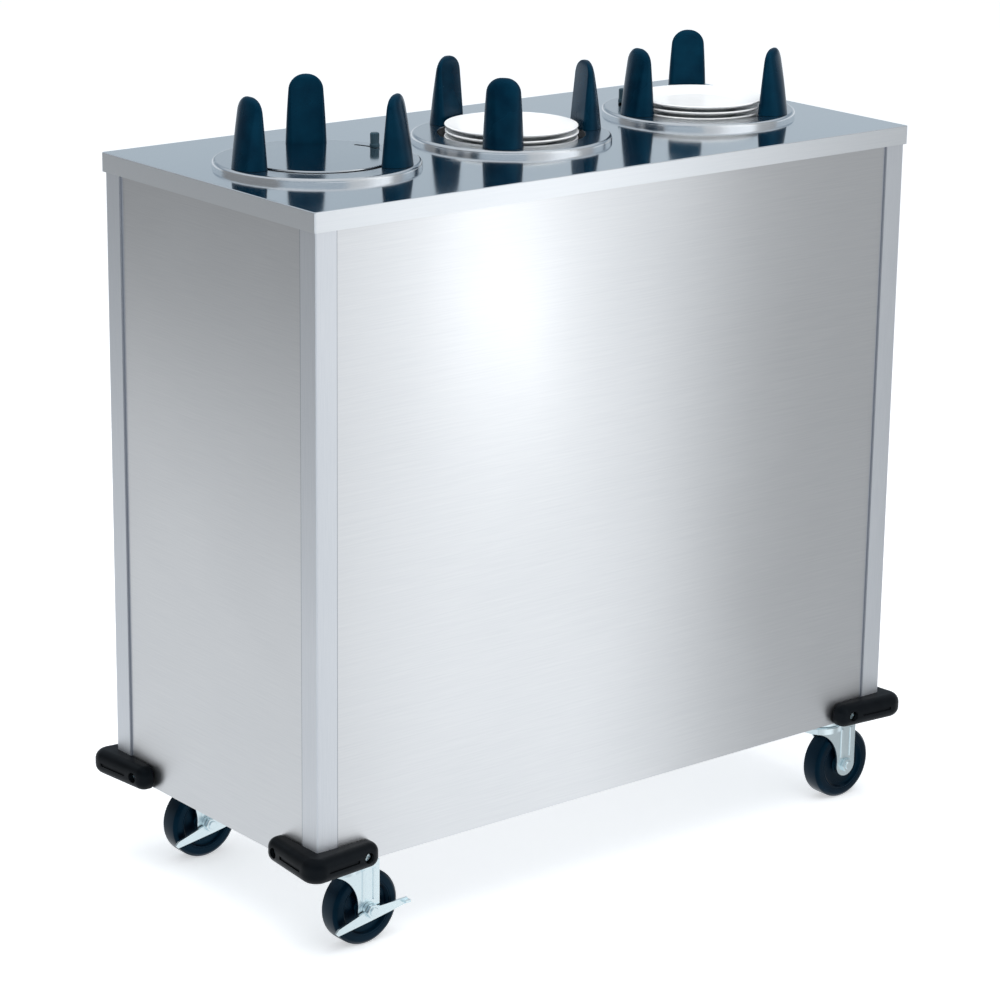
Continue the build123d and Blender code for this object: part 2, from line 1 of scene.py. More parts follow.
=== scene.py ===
# %% [markdown]
# # A plate dispenser cart in brushed stainless steel
#
# This notebook dresses a finished CAD model for the camera. The model arrives as a fixed frame:
# every sheet, caster and carrier already has its place, its size and its joints. What Blender adds
# is what the eye looks for, such as the grain of the sheet steel, the deep satin of the plastic
# guides, coil springs with real wire, china with a glaze, and rubber that looks moulded.
#
# We work in metres, with Z up, and the front panel faces -Y.

# %% Load the frame
import math
import bmesh
import bpy
from mathutils import Matrix, Vector


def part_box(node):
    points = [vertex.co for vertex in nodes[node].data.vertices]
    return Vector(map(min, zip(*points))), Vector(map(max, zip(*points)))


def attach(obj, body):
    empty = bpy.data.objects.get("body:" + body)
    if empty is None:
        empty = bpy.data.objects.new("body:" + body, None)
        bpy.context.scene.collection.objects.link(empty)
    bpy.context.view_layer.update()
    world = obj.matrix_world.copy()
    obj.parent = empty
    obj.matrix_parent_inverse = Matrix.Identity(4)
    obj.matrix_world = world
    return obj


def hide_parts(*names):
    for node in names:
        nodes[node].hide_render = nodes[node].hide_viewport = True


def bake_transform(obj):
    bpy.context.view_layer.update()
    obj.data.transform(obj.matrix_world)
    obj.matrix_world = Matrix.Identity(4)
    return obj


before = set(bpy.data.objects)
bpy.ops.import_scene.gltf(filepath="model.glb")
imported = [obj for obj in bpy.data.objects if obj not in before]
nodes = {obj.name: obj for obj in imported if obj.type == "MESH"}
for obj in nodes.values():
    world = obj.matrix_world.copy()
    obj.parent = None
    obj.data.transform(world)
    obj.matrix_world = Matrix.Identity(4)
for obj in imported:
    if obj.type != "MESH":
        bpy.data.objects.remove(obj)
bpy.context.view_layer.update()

# %% [markdown]
# ## The camera
#
# The photograph was taken from the left of the front panel, a little above the deck. A camera is
# easiest to reason about as an orbit: a direction round the cart, a height above the horizon, a
# distance and a lens. We build its three axes from those angles and place it on them.

# %% Set up the camera
CAMERA_AZIMUTH = math.radians(-39.12)
CAMERA_ELEVATION = math.radians(16.69)
CAMERA_ROLL = math.radians(0.764)
CAMERA_DISTANCE = 4.557
CAMERA_SLIDE = (-0.0159, -0.0712)
CAMERA_AIM = Vector((0, 0, 0.55))
SENSOR = 36.0
LENS = 3.390 * SENSOR


def orbit_axes(azimuth, elevation, roll):
    """The camera's right, up and backward directions for a place on the orbit."""
    flat = math.cos(elevation)
    back = Vector((math.sin(azimuth) * flat, -math.cos(azimuth) * flat, math.sin(elevation)))
    level = Vector((math.cos(azimuth), math.sin(azimuth), 0))
    rise = back.cross(level)
    right = level * math.cos(roll) + rise * math.sin(roll)
    return right, back.cross(right), back


right, up, back = orbit_axes(CAMERA_AZIMUTH, CAMERA_ELEVATION, CAMERA_ROLL)
camera = bpy.data.objects.new("camera", bpy.data.cameras.new("camera"))
bpy.context.scene.collection.objects.link(camera)
camera.matrix_world = Matrix((right, up, back)).transposed().to_4x4()
camera.location = CAMERA_AIM + back * CAMERA_DISTANCE + right * CAMERA_SLIDE[0] + up * CAMERA_SLIDE[1]
camera.data.sensor_width = SENSOR
camera.data.lens = LENS
camera.data.clip_end = 100
bpy.context.scene.camera = camera
print("camera at", [round(value, 3) for value in camera.location])

# %% [markdown]
# ## The studio
#
# Polished metal has almost no colour of its own: it shows the room. So a picture of stainless
# steel is really a picture of cards. A white floor carries the cart, and the room behind it is a
# cool grey that the mirror-like deck picks up. Two boards stand where the panels look. Each is
# painted with soft light, as a photographer would do with cloth and lamps, and only reflections
# see it. The floor and the overhead lamp are the opposite: they light the cart, but reflections
# don't see them, or they would wash out the panels and the deck. The Standard view keeps the
# whites white, as in a catalogue picture.

# %% Lay the floor and light the room
bpy.context.scene.view_settings.view_transform = "Standard"
FLOOR_REACH = 40.0
ROOM_TONES = (
    (0.00, (0.80, 0.84, 0.88)),
    (0.20, (0.40, 0.47, 0.53)),
    (0.31, (0.18, 0.235, 0.295)),
    (0.50, (0.46, 0.51, 0.56)),
    (1.00, (0.66, 0.69, 0.72)),
)


def show_in_scene(name, data):
    """An object for the mesh, lamp or camera, linked into the scene."""
    thing = bpy.data.objects.new(name, data)
    bpy.context.scene.collection.objects.link(thing)
    return thing


def add_node(tree, kind, **settings):
    node = tree.nodes.new(kind)
    for name, value in settings.items():
        setattr(node, name, value)
    return node


def tone_ramp(tree, value, tones):
    """Colours along a value, from (position, colour) pairs."""
    ramp = add_node(tree, "ShaderNodeValToRGB")
    stops = ramp.color_ramp.elements
    for number, (position, colour) in enumerate(tones):
        stop = stops[number] if number < 2 else stops.new(position)
        stop.position = position
        stop.color = (*colour, 1)
    tree.links.new(value, ramp.inputs["Fac"])
    return ramp.outputs["Color"]


def flat_card(name, corners, material):
    """A flat four-cornered sheet of the studio's own."""
    mesh = bpy.data.meshes.new(name)
    mesh.from_pydata(corners, [], [(0, 1, 2, 3)])
    mesh.materials.append(material)
    sheet = show_in_scene(name, mesh)
    return sheet


floor_white = bpy.data.materials.new("floor_white")
floor_white.use_nodes = True
floor_shader = floor_white.node_tree.nodes["Principled BSDF"]
floor_shader.inputs["Base Color"].default_value = (0.94, 0.94, 0.94, 1)
floor_shader.inputs["Roughness"].default_value = 0.9
floor_shader.inputs["Specular IOR Level"].default_value = 0.1
floor_shader.inputs["Emission Color"].default_value = (1, 1, 1, 1)
floor_shader.inputs["Emission Strength"].default_value = 0.5
SQUARE = ((-1, -1), (1, -1), (1, 1), (-1, 1))
floor = flat_card("floor", [(FLOOR_REACH * x, FLOOR_REACH * y, 0) for x, y in SQUARE], floor_white)
floor.visible_glossy = False

world = bpy.data.worlds.new("room")
bpy.context.scene.world = world
world.use_nodes = True
room = world.node_tree
direction = add_node(room, "ShaderNodeTexCoord")
rise_of_ray = add_node(room, "ShaderNodeSeparateXYZ")
room.links.new(direction.outputs["Generated"], rise_of_ray.inputs[0])
sky = tone_ramp(room, rise_of_ray.outputs["Z"], ROOM_TONES)
room.links.new(sky, room.nodes["Background"].inputs["Color"])


def painted_board(name, start, stop, low, high, tones, along):
    """A glowing board between two floor points that only reflections see. Its tones run along
    the board ("width") or up it ("height"), from 0 to 1."""
    material = bpy.data.materials.new(name)
    material.use_nodes = True
    tree = material.node_tree
    tree.nodes.remove(tree.nodes["Principled BSDF"])
    where = add_node(tree, "ShaderNodeUVMap", uv_map="board")
    split = add_node(tree, "ShaderNodeSeparateXYZ")
    tree.links.new(where.outputs["UV"], split.inputs[0])
    colour = tone_ramp(tree, split.outputs["X" if along == "width" else "Y"], tones)
    glow = add_node(tree, "ShaderNodeEmission")
    tree.links.new(colour, glow.inputs["Color"])
    tree.links.new(glow.outputs[0], tree.nodes["Material Output"].inputs["Surface"])
    board = flat_card(name, [(*start, low), (*stop, low), (*stop, high), (*start, high)], material)
    places = board.data.uv_layers.new(name="board").data
    for corner, place in zip(places, ((0, 0), (1, 0), (1, 1), (0, 1))):
        corner.uv = place
    board.visible_camera = False
    board.visible_diffuse = False
    board.visible_shadow = False
    return board


def cool(tone):
    """A slightly blue grey."""
    return (tone * 0.97, tone * 0.995, tone * 1.02)


FRONT_TONES = [
    (0.00, 0.60),
    (0.14, 0.70),
    (0.235, 1.02),
    (0.40, 1.10),
    (0.455, 1.00),
    (0.50, 0.46),
    (1.00, 0.34),
]
END_TONES = [(0.00, 0.80), (0.34, 0.77), (0.41, 0.60), (0.47, 0.26), (1.00, 0.25)]
BOARD_LOW = -0.6
painted_board(
    "front_board",
    (-0.40, -1.0),
    (2.2, -1.0),
    BOARD_LOW,
    2.3,
    [(at, cool(tone)) for at, tone in FRONT_TONES],
    "width",
)
painted_board(
    "end_board",
    (-1.3, 2.6),
    (-1.3, -0.3),
    BOARD_LOW,
    1.7,
    [(at, cool(tone)) for at, tone in END_TONES],
    "height",
)


def soft_light(name, place, target, size, power):
    """A white rectangular soft box that faces its target."""
    lamp = bpy.data.lights.new(name, "AREA")
    lamp.shape = "RECTANGLE"
    lamp.size, lamp.size_y = size
    lamp.energy = power
    holder = show_in_scene(name, lamp)
    holder.location = place
    holder.rotation_euler = (Vector(target) - Vector(place)).to_track_quat("-Z", "Y").to_euler()
    return holder


overhead = soft_light("overhead", (-0.6, -0.8, 3.6), (0, 0, 0.55), (3.2, 3.2), 95)
overhead.visible_glossy = False
soft_light("hot_spot", (0.33, -0.98, 0.68), (-0.2, -0.23, 0.75), (0.26, 0.40), 0.25)

# %% [markdown]
# ## Shared effects
#
# Four effects turn up in several finishes, so each is a node group with named inputs. The grain
# of brushed steel is noise stretched along the brushing. Handling is the soft cloudiness that
# hands and cloths leave. Pebble is the fine skin that a mould gives to rubber and plastic. The
# seam shade is a dark line that marks the seam beside a corner post, where a panel tucks in
# behind it. It is painted shade, standing for the shadow that the post's edge casts there.

# %% Build the shared effects
MOTTLE_SCALE = 38.0
# Where the painted seam shade runs: the panels' edges beside the corner posts.
SEAM_SHADE_AT = {"Line X": 0.457, "Line Y": 0.1955}


def effect_group(name, inputs, outputs):
    """A shader node group with named inputs and outputs."""
    group = bpy.data.node_groups.new(name, "ShaderNodeTree")
    for label, value in inputs.items():
        kind = "NodeSocketVector" if isinstance(value, tuple) else "NodeSocketFloat"
        socket = group.interface.new_socket(label, in_out="INPUT", socket_type=kind)
        socket.default_value = value
    for label in outputs:
        group.interface.new_socket(label, in_out="OUTPUT", socket_type="NodeSocketFloat")
    return group, group.nodes.new("NodeGroupInput"), group.nodes.new("NodeGroupOutput")


def noise_of(tree, vector, scale, detail, roughness=0.5):
    noise = add_node(tree, "ShaderNodeTexNoise")
    noise.inputs["Detail"].default_value = detail
    noise.inputs["Roughness"].default_value = roughness
    tree.links.new(vector, noise.inputs["Vector"])
    if isinstance(scale, float):
        noise.inputs["Scale"].default_value = scale
    else:
        tree.links.new(scale, noise.inputs["Scale"])
    return noise.outputs["Fac"]


def remap(tree, value, low, high, to_low, to_high):
    span = add_node(tree, "ShaderNodeMapRange")
    span.inputs["From Min"].default_value = low
    span.inputs["From Max"].default_value = high
    tree.links.new(value, span.inputs["Value"])
    for label, edge in (("To Min", to_low), ("To Max", to_high)):
        if isinstance(edge, float):
            span.inputs[label].default_value = edge
        else:
            tree.links.new(edge, span.inputs[label])
    return span.outputs["Result"]


def make_grain():
    """Fine lines: noise read from a vector that is squeezed along the brushing."""
    inputs = {"Vector": (0.0, 0.0, 0.0), "Stretch": (1.0, 1.0, 1.0), "Fineness": 900.0}
    group, start, end = effect_group("brushed_grain", inputs, ("Line",))
    stretched = add_node(group, "ShaderNodeVectorMath", operation="MULTIPLY")
    group.links.new(start.outputs["Vector"], stretched.inputs[0])
    group.links.new(start.outputs["Stretch"], stretched.inputs[1])
    line = noise_of(group, stretched.outputs["Vector"], start.outputs["Fineness"], 3.0, 0.6)
    group.links.new(line, end.inputs["Line"])
    return group


def make_handling():
    """Broad cloudy patches, with smaller smudges inside them."""
    group, start, end = effect_group("handling", {"Vector": (0.0, 0.0, 0.0), "Size": 5.0}, ("Cloud",))
    broad = noise_of(group, start.outputs["Vector"], start.outputs["Size"], 3.0)
    group.links.new(remap(group, broad, 0.32, 0.68, 0.0, 1.0), end.inputs["Cloud"])
    return group


def make_pebble():
    """A fine, even moulded skin."""
    inputs = {"Vector": (0.0, 0.0, 0.0), "Fineness": 700.0}
    group, start, end = effect_group("pebble", inputs, ("Height", "Mottle"))
    fine = noise_of(group, start.outputs["Vector"], start.outputs["Fineness"], 2.0)
    mottle = noise_of(group, start.outputs["Vector"], MOTTLE_SCALE, 3.0)
    group.links.new(fine, end.inputs["Height"])
    group.links.new(remap(group, mottle, 0.3, 0.7, 0.0, 1.0), end.inputs["Mottle"])
    return group


def make_painted_seam_shade():
    """A thin mask of painted shade where a panel tucks in behind a corner post's upright edge."""
    sizes = {"Vector": (0.0, 0.0, 0.0), **SEAM_SHADE_AT, "Width": 0.001}
    group, start, end = effect_group("painted_seam_shade", sizes, ("Mask",))
    split = add_node(group, "ShaderNodeSeparateXYZ")
    group.links.new(start.outputs["Vector"], split.inputs[0])
    distances = []
    for axis in ("X", "Y"):
        size = add_node(group, "ShaderNodeMath", operation="ABSOLUTE")
        group.links.new(split.outputs[axis], size.inputs[0])
        beyond = add_node(group, "ShaderNodeMath", operation="SUBTRACT")
        group.links.new(size.outputs[0], beyond.inputs[0])
        group.links.new(start.outputs[f"Line {axis}"], beyond.inputs[1])
        distance = add_node(group, "ShaderNodeMath", operation="ABSOLUTE")
        group.links.new(beyond.outputs[0], distance.inputs[0])
        distances.append(distance.outputs[0])
    nearest = add_node(group, "ShaderNodeMath", operation="MINIMUM")
    group.links.new(distances[0], nearest.inputs[0])
    group.links.new(distances[1], nearest.inputs[1])
    inside = add_node(group, "ShaderNodeMath", operation="LESS_THAN")
    group.links.new(nearest.outputs[0], inside.inputs[0])
    group.links.new(start.outputs["Width"], inside.inputs[1])
    group.links.new(inside.outputs[0], end.inputs["Mask"])
    return group


GRAIN = make_grain()
HANDLING = make_handling()
PEBBLE = make_pebble()
PAINTED_SEAM_SHADE = make_painted_seam_shade()
print("shared effects:", [group.name for group in (GRAIN, HANDLING, PEBBLE, PAINTED_SEAM_SHADE)])

# %% [markdown]
# ## Sheet steel
#
# The panels are brushed along their length, so every line of grain is horizontal. Grain spreads
# a reflection across itself, which is why a lamp becomes a tall soft band on the front panel. The
# shader's anisotropy does that, with a tangent that runs round the cart. The lines themselves only
# shift the colour and the gloss a little, and a faint bump breaks up the highlight.

# %% Make the steels
GRAIN_DEPTH = 0.0003
ALONG_X = (0.02, 1.0, 1.0)
ALONG_X_AND_Y = (0.02, 0.02, 1.0)
ALONG_Z = (1.0, 1.0, 0.03)
ALL_WAYS = (1.0, 1.0, 1.0)
# The colour of the painted shade line in the seams beside the corner posts.
SEAM_SHADE_COLOUR = (0.46, 0.48, 0.52, 1)
APRON_SATIN = (0.9690, 0.40)


def placed_effect(tree, group, **values):
    """Put a shared effect into a material, reading Object coordinates."""
    node = add_node(tree, "ShaderNodeGroup", node_tree=group)
    where = add_node(tree, "ShaderNodeTexCoord")
    tree.links.new(where.outputs["Object"], node.inputs["Vector"])
    for label, value in values.items():
        node.inputs[label].default_value = value
    return node


def blend_colours(tree, factor, low, high):
    mix = add_node(tree, "ShaderNodeMix", data_type="RGBA")
    mix.inputs[6].default_value = (*low, 1)
    mix.inputs[7].default_value = (*high, 1)
    tree.links.new(factor, mix.inputs[0])
    return mix.outputs[2]


def raise_surface(tree, height, strength, depth):
    bump = add_node(tree, "ShaderNodeBump")
    bump.inputs["Strength"].default_value = strength
    bump.inputs["Distance"].default_value = depth
    tree.links.new(height, bump.inputs["Height"])
    return bump.outputs["Normal"]


def satin_below(tree, roughness, height, satin):
    """The roughness above a height, and a satin one below it."""
    where = add_node(tree, "ShaderNodeTexCoord")
    split = add_node(tree, "ShaderNodeSeparateXYZ")
    tree.links.new(where.outputs["Object"], split.inputs[0])
    below = add_node(tree, "ShaderNodeMath", operation="LESS_THAN")
    below.inputs[1].default_value = height
    tree.links.new(split.outputs["Z"], below.inputs[0])
    mix = add_node(tree, "ShaderNodeMix", data_type="FLOAT")
    tree.links.new(below.outputs[0], mix.inputs[0])
    tree.links.new(roughness, mix.inputs[2])
    mix.inputs[3].default_value = satin
    return mix.outputs[0]


def steel(name, dark, light, gloss, stretch, fineness, anisotropy=0.0, bump=0.08, satin=None, seam_shade=0.0):
    """Brushed or polished metal. gloss is the lowest and highest roughness, satin is a height and
    the roughness below it, and the last argument is the width of the painted shade line beside
    the corner posts."""
    material = bpy.data.materials.new(name)
    material.use_nodes = True
    tree = material.node_tree
    shader = tree.nodes["Principled BSDF"]
    shader.inputs["Metallic"].default_value = 1.0
    grain = placed_effect(tree, GRAIN, Stretch=stretch, Fineness=fineness)
    clouds = placed_effect(tree, HANDLING, Size=4.0)
    colour = blend_colours(tree, grain.outputs["Line"], dark, light)
    # Painted shade: a dark line beside the corner posts stands for the shadow in the seam.
    if seam_shade:
        line = placed_effect(tree, PAINTED_SEAM_SHADE, Width=seam_shade)
        shade = add_node(tree, "ShaderNodeMix", data_type="RGBA")
        tree.links.new(line.outputs["Mask"], shade.inputs[0])
        tree.links.new(colour, shade.inputs[6])
        shade.inputs[7].default_value = SEAM_SHADE_COLOUR
        colour = shade.outputs[2]
    tree.links.new(colour, shader.inputs["Base Color"])
    worn = add_node(tree, "ShaderNodeMath", operation="MULTIPLY_ADD")
    worn.inputs[1].default_value = 0.5
    tree.links.new(clouds.outputs["Cloud"], worn.inputs[0])
    half_line = add_node(tree, "ShaderNodeMath", operation="MULTIPLY")
    half_line.inputs[1].default_value = 0.5
    tree.links.new(grain.outputs["Line"], half_line.inputs[0])
    tree.links.new(half_line.outputs[0], worn.inputs[2])
    roughness = remap(tree, worn.outputs[0], 0.0, 1.0, *gloss)
    if satin:
        roughness = satin_below(tree, roughness, *satin)
    tree.links.new(roughness, shader.inputs["Roughness"])
    if bump:
        normal = raise_surface(tree, grain.outputs["Line"], bump, GRAIN_DEPTH)
        tree.links.new(normal, shader.inputs["Normal"])
    if anisotropy:
        shader.inputs["Anisotropic"].default_value = anisotropy
        shader.inputs["Anisotropic Rotation"].default_value = 0.25
        around = add_node(tree, "ShaderNodeTangent", direction_type="RADIAL", axis="Z")
        tree.links.new(around.outputs["Tangent"], shader.inputs["Tangent"])
    return material


panel_steel = steel(
    "panel_steel",
    dark=(0.72, 0.735, 0.755),
    light=(0.83, 0.84, 0.85),
    gloss=(0.26, 0.36),
    stretch=ALONG_X_AND_Y,
    fineness=620.0,
    anisotropy=0.75,
    bump=0.06,
    # The panels get the painted shade line in the seams beside the posts.
    seam_shade=0.0014,
)
post_steel = steel(
    "post_steel",
    dark=(0.74, 0.77, 0.81),
    light=(0.86, 0.88, 0.91),
    gloss=(0.42, 0.52),
    stretch=ALONG_Z,
    fineness=620.0,
    anisotropy=0.4,
    # The posts get the painted shade line beside their edges.
    seam_shade=0.001,
)
deck_steel = steel(
    "deck_steel",
    dark=(0.84, 0.87, 0.90),
    light=(0.92, 0.94, 0.96),
    gloss=(0.07, 0.13),
    stretch=ALONG_X,
    fineness=520.0,
    bump=0.02,
    satin=APRON_SATIN,
)
carrier_steel = steel(
    "carrier_steel",
    dark=(0.72, 0.75, 0.78),
    light=(0.84, 0.86, 0.88),
    gloss=(0.07, 0.13),
    stretch=ALONG_X,
    fineness=520.0,
    bump=0.02,
)
ring_steel = steel(
    "ring_steel",
    dark=(0.76, 0.79, 0.82),
    light=(0.88, 0.90, 0.92),
    gloss=(0.15, 0.23),
    stretch=ALL_WAYS,
    fineness=300.0,
    bump=0.02,
)
tube_steel = steel(
    "tube_steel",
    dark=(0.50, 0.51, 0.53),
    light=(0.66, 0.67, 0.68),
    gloss=(0.30, 0.45),
    stretch=ALONG_Z,
    fineness=500.0,
)
spring_steel = steel(
    "spring_steel",
    dark=(0.30, 0.30, 0.31),
    light=(0.48, 0.48, 0.49),
    gloss=(0.28, 0.42),
    stretch=ALL_WAYS,
    fineness=900.0,
)
zinc = steel(
    "zinc",
    dark=(0.72, 0.84, 0.88),
    light=(0.82, 0.93, 0.96),
    gloss=(0.24, 0.34),
    stretch=ALL_WAYS,
    fineness=260.0,
    bump=0.02,
)

# %% [markdown]
# ## Plastic, rubber and china
#
# The guides are satin plastic in a blue so deep that it reads as black until light grazes it. The
# bumpers and wheels are rubber with a mould's skin. China is a white body under clear glaze, so it
# gets a coat: the coat gives the sharp glint, and the body below stays soft.

# %% Make the plastics, the rubbers and the china
SKIN_DEPTH = 0.0002
BLUE_GLOSS = (0.12, 0.58, 1.0)
NEUTRAL_GLOSS = (0.7, 0.85, 1.0)


def moulded(name, dark, light, gloss, fineness, bump, specular, tint):
    """Plastic or rubber with a mould's fine skin. tint is the colour of its gloss."""
    material = bpy.data.materials.new(name)
    material.use_nodes = True
    tree = material.node_tree
    shader = tree.nodes["Principled BSDF"]
    skin = placed_effect(tree, PEBBLE, Fineness=fineness)
    clouds = placed_effect(tree, HANDLING, Size=14.0)
    colour = blend_colours(tree, skin.outputs["Mottle"], dark, light)
    tree.links.new(colour, shader.inputs["Base Color"])
    roughness = remap(tree, clouds.outputs["Cloud"], 0.0, 1.0, *gloss)
    tree.links.new(roughness, shader.inputs["Roughness"])
    normal = raise_surface(tree, skin.outputs["Height"], bump, SKIN_DEPTH)
    tree.links.new(normal, shader.inputs["Normal"])
    shader.inputs["Specular IOR Level"].default_value = specular
    shader.inputs["Specular Tint"].default_value = (*tint, 1)
    return material


guide_plastic = moulded(
    "guide_plastic",
    dark=(0.0005, 0.009, 0.021),
    light=(0.0010, 0.019, 0.038),
    gloss=(0.22, 0.34),
    fineness=900.0,
    bump=0.10,
    specular=0.34,
    tint=BLUE_GLOSS,
)
knob_plastic = moulded(
    "knob_plastic",
    dark=(0.020, 0.045, 0.060),
    light=(0.035, 0.070, 0.090),
    gloss=(0.26, 0.36),
    fineness=900.0,
    bump=0.08,
    specular=0.4,
    tint=NEUTRAL_GLOSS,
)
bumper_rubber = moulded(
    "bumper_rubber",
    dark=(0.0010, 0.0014, 0.0020),
    light=(0.0030, 0.0036, 0.0045),
    gloss=(0.34, 0.50),
    fineness=420.0,
    bump=0.25,
    specular=0.14,
    tint=NEUTRAL_GLOSS,
)
wheel_rubber = moulded(
    "wheel_rubber",
    dark=(0.0003, 0.0012, 0.0040),
    light=(0.0006, 0.0050, 0.0120),
    gloss=(0.24, 0.38),
    fineness=500.0,
    bump=0.15,
    specular=0.26,
    tint=BLUE_GLOSS,
)


def glazed(name):
    """White china under a thin clear glaze."""
    material = bpy.data.materials.new(name)
    material.use_nodes = True
    tree = material.node_tree
    shader = tree.nodes["Principled BSDF"]
    clouds = placed_effect(tree, HANDLING, Size=30.0)
    body = blend_colours(tree, clouds.outputs["Cloud"], (0.93, 0.925, 0.91), (0.97, 0.97, 0.965))
    tree.links.new(body, shader.inputs["Base Color"])
    shader.inputs["Roughness"].default_value = 0.35
    shader.inputs["Specular IOR Level"].default_value = 0.2
    shader.inputs["Coat Weight"].default_value = 0.25
    shader.inputs["Coat Roughness"].default_value = 0.08
    return material


china = glazed("glazed_china")

# %% [markdown]
# ## Dressing the model
#
# Every piece of the model is named for what it is, so its name is enough to choose its finish. The
# list is read from the top, and the first word that fits wins. What no word fits is zinc, like the
# casters and their bolts.

# %% Put the finishes on the CAD pieces


def finish_of(node):
    """The finish that a CAD piece gets, from its name."""
    for word, material in (
        ("posts", post_steel),
        ("panel", panel_steel),
        ("base_pan", panel_steel),
        ("top_deck", deck_steel),
        ("flange", ring_steel),
        ("carrier", carrier_steel),
        ("tube", tube_steel),
        ("ring", tube_steel),
        ("guide", guide_plastic),
        ("knob", knob_plastic),
        ("bumper_screws", zinc),
        ("bumper", bumper_rubber),
        ("wheel", wheel_rubber),
        ("plates", china),
    ):
        if word in node and not node.startswith("caster"):
            return material
    return zinc


for name, piece in nodes.items():
    for number in range(len(piece.material_slots)):
        piece.material_slots[number].material = finish_of(name)
print("finishes on", len(nodes), "CAD pieces")

# %% [markdown]
# ## Shapes from outlines
#
# Most of the finer pieces are either turned, like a plate or a wheel, or drawn out through
# changing sections, like a guide. Two small helpers make both from plain lists of points, and a
# third puts true arcs on the corners of an outline, because real edges are never sharp.

# %% Make the shape helpers


def rounded(points, radii, steps=4):
    """The closed outline with an arc at each corner. A radius of 0 keeps the corner."""
    outline = []
    count = len(points)
    for number, (point, radius) in enumerate(zip(points, radii)):
        corner = Vector(point)
        if not radius:
            outline.append(corner)
            continue
        back_way = (Vector(points[number - 1]) - corner).normalized()
        on_way = (Vector(points[(number + 1) % count]) - corner).normalized()
        opening = back_way.angle(on_way)
        sweep = math.pi - opening
        centre = corner + (back_way + on_way).normalized() * radius / math.sin(opening / 2)
        reach = radius / math.tan(opening / 2)
        first = corner + back_way * reach - centre
        last = corner + on_way * reach - centre
        for step in range(steps + 1):
            part = step / steps
            blend = first * math.sin((1 - part) * sweep) + last * math.sin(part * sweep)
            outline.append(centre + blend / math.sin(sweep))
    return outline


def stitched(bm, rows, closed=False):
    """Faces between rows of vertices. A row of one repeated vertex is a pole."""
    pairs = list(zip(rows, rows[1:])) + ([(rows[-1], rows[0])] if closed else [])
    for low, high in pairs:
        for here in range(len(low)):
            beside = (here + 1) % len(low)
            corners = list(dict.fromkeys((low[here], low[beside], high[beside], high[here])))
            if len(corners) > 2:
                bm.faces.new(corners)


def turned(bm, outline, steps):
    """Sweep a closed outline of (radius, height) points once round Z."""
    rows = []
    for radius, height in outline:
        if radius < 1e-7:
            rows.append([bm.verts.new((0, 0, height))] * steps)
        else:
            turns = [math.tau * step / steps for step in range(steps)]
            rows.append([bm.verts.new((radius * math.cos(a), radius * math.sin(a), height)) for a in turns])
    stitched(bm, rows, closed=True)


def drawn_out(bm, sections):
    """A closed body through sections that have equally many points."""
    rows = [[bm.verts.new(point) for point in section] for section in sections]
    stitched(bm, rows)
    bm.faces.new(rows[0])
    bm.faces.new(rows[-1])


def mesh_of(name, bm, sharp=math.radians(38)):
    """A mesh with outward faces, smooth except across sharp edges."""
    bmesh.ops.recalc_face_normals(bm, faces=bm.faces)
    mesh = bpy.data.meshes.new(name)
    bm.to_mesh(mesh)
    bm.free()
    mesh.shade_smooth()
    mesh.set_sharp_from_angle(angle=sharp)
    return mesh


def add_piece(name, mesh, material, body, slot, *stands_for):
    """Show a mesh as a piece that rides on a body and stands for CAD nodes."""
    mesh.materials.clear()
    mesh.materials.append(material)
    piece = show_in_scene(name, mesh)
    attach(piece, body)
    if stands_for:
        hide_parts(*stands_for)
    return piece


# %% [markdown]
# ## Where the dispensers are
#
# A dispenser's pieces are drawn about its own axis, with the top of the deck as zero, and then
# put in place. The axis is the middle of the round flange. The dispensers are turned by different
# amounts, and each one's knob tells by how much.

# %% Find the dispensers
KNOB_ANGLE = math.radians(8.5)
DISPENSERS = {}


def middle_of(node):
    low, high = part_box(node)
    return (Vector(low) + Vector(high)) / 2


for side in ("left", "middle", "right"):
    axis = middle_of(f"{side}_flange")
    knob_way = middle_of(f"{side}_knob") - axis
    turn = math.atan2(knob_way.y, knob_way.x) - KNOB_ANGLE
    deck_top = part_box(f"{side}_flange")[0][2]
    DISPENSERS[side] = Matrix.Translation((axis.x, axis.y, deck_top)) @ Matrix.Rotation(turn, 4, "Z")
    print(side, "dispenser at", [round(v, 4) for v in axis], "turned", round(math.degrees(turn), 2))

FLANGE_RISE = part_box("left_flange")[1][2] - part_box("left_flange")[0][2]

# %% [markdown]
# ## The guides
#
# A guide is a moulded finger: flat where the plates slide past it, bowed on its outer side, and
# thinner and narrower towards a round crest. One section is a D made of a half ellipse and two
# rounded inner corners. Drawing it out through 23 heights gives the taper, a slight swell halfway
# up, and the crest, where the section shrinks along a circle.

# %% Draw out the guides
GUIDE_ANGLES = (60, 180, 300)
FOOT_SPAN, FOOT_WIDTH = (0.0935, 0.1270), 0.053
CREST_SPAN, CREST_WIDTH = (0.1015, 0.1110), 0.042
CREST_R = 0.0185
CREST_FLAT = 0.30
CREST_THIN = 0.008
SWELL = 0.0012
GUIDE_LIFT = 0.0003
TAPER_LEVELS, CREST_LEVELS = 12, 10
BOW_STEPS, CORNER_STEPS, PIN_STEPS = 24, 6, 24
SHOULDER_SHARE, CORNER_SHARE = 0.26, 0.24
STEM = (0.102, 0.109, 0.008)
STEM_OVERLAP = 0.001
PIN_AT, PIN_R, PIN_LOW = 0.1055, 0.0025, -0.0005


def half_ellipse(centre, reach, start, stop, steps):
    """Points on an ellipse about centre, from one angle to another in degrees."""
    turns = [math.radians(start + (stop - start) * step / steps) for step in range(steps + 1)]
    return [(centre[0] + reach[0] * math.cos(a), centre[1] + reach[1] * math.sin(a)) for a in turns]


